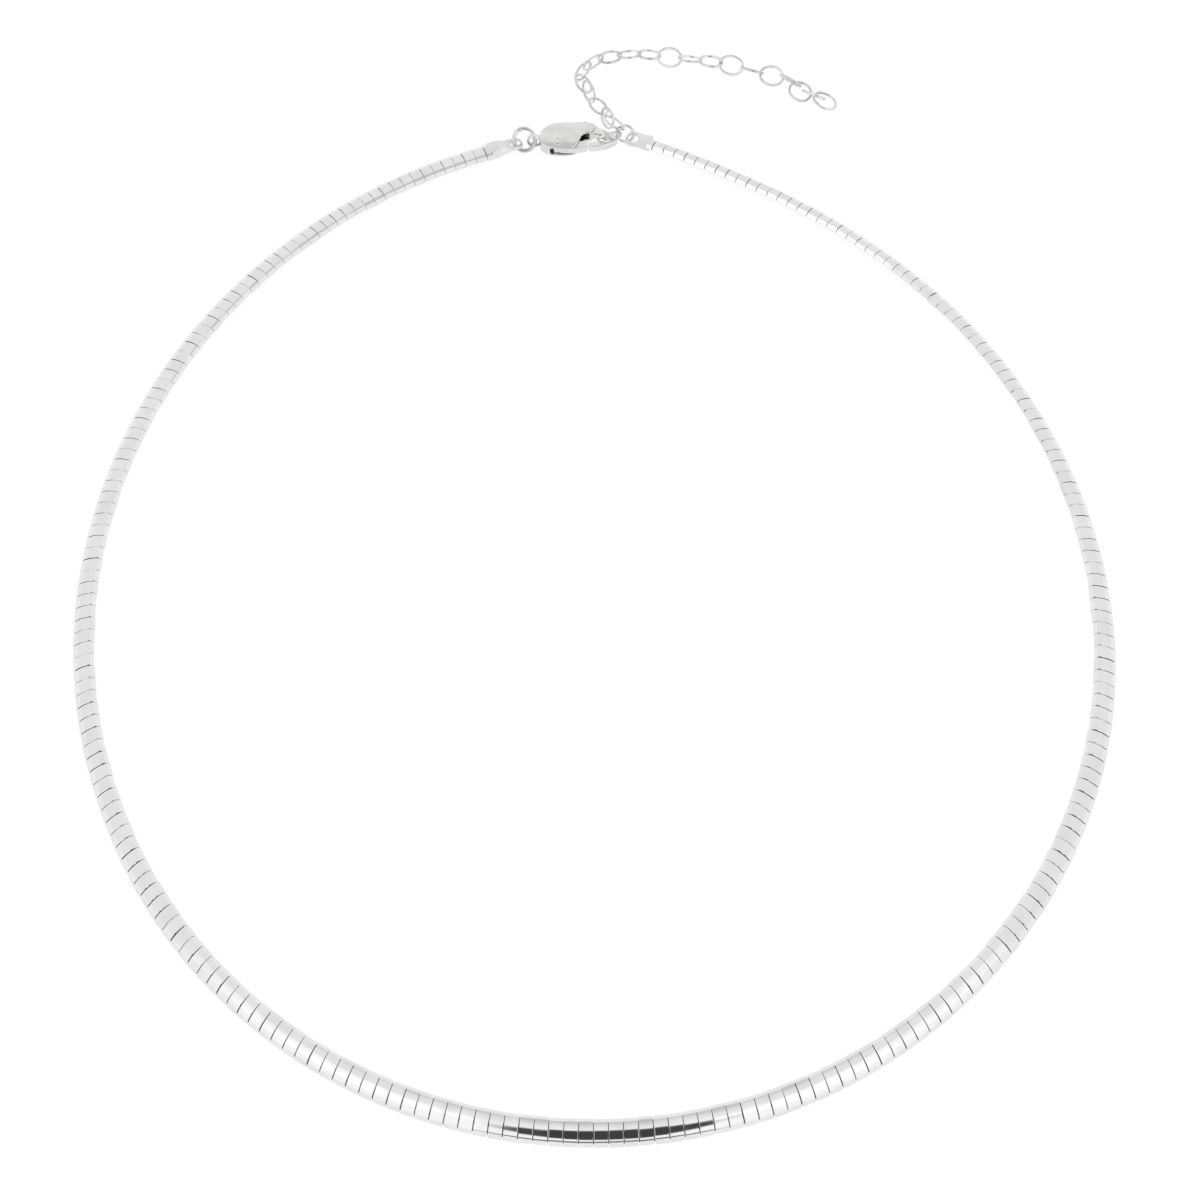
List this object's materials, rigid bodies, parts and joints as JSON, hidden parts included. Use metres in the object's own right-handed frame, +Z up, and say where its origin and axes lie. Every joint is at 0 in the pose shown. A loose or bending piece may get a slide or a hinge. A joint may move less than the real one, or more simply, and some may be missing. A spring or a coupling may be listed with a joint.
{
  "type": "omega necklace",
  "caption": "Silver omega necklace lying as a loop: domed plates on a woven core, end caps, a sprung lobster clasp and an oval-link extension chain.",
  "frame": {"origin": "centre of the necklace's bounding box in plan, on the surface that it lies on", "axes": "+Z up from the surface, +Y from the front of the loop to the clasp, +X to the wearer's left as the necklace is seen from above with its front nearest"},
  "size_m": [0.1282, 0.1538, 0.0033],
  "materials": {
    "polished_silver_plates": "polished sterling silver, mirror bright, with a fine dark seam between each plate and the next",
    "woven_silver_core": "woven silver wire mesh, dull and slightly toned, seen only in the seams",
    "cast_silver_caps": "cast sterling silver, tumble polished, bare of any mark",
    "cast_silver_clasp": "cast sterling silver, tumble polished, domed faces",
    "silver_wire": "round drawn silver wire, polished, soldered closed"
  },
  "bodies": {
    "necklace": {"plates_left": "polished_silver_plates", "plates_right": "polished_silver_plates", "core": "woven_silver_core", "end_cap_left": "cast_silver_caps", "end_cap_right": "cast_silver_caps", "jump_ring_left": "silver_wire", "jump_ring_right": "silver_wire", "clasp_body": "cast_silver_clasp", "clasp_pin": "cast_silver_clasp", "link_01": "silver_wire", "link_02": "silver_wire", "link_03": "silver_wire", "link_04": "silver_wire", "link_05": "silver_wire", "link_06": "silver_wire", "link_07": "silver_wire", "link_08": "silver_wire", "link_09": "silver_wire", "link_10": "silver_wire", "link_11": "silver_wire", "link_12": "silver_wire", "link_13": "silver_wire", "link_14": "silver_wire", "link_15": "silver_wire", "link_16": "silver_wire", "link_17": "silver_wire", "link_18": "silver_wire", "link_19": "silver_wire", "link_20": "silver_wire", "link_21": "silver_wire"},
    "lever": {"clasp_lever": "cast_silver_clasp"}
  },
  "joints": [
    {"name": "lever_hinge", "type": "hinge", "parent": "necklace", "child": "lever", "pos_m": [-0.00521, 0.05824, 0.0011], "axis": [0, 0, 1], "range_deg": [0, 16], "stiffness_Nm_per_rad": 0.01}
  ]
}
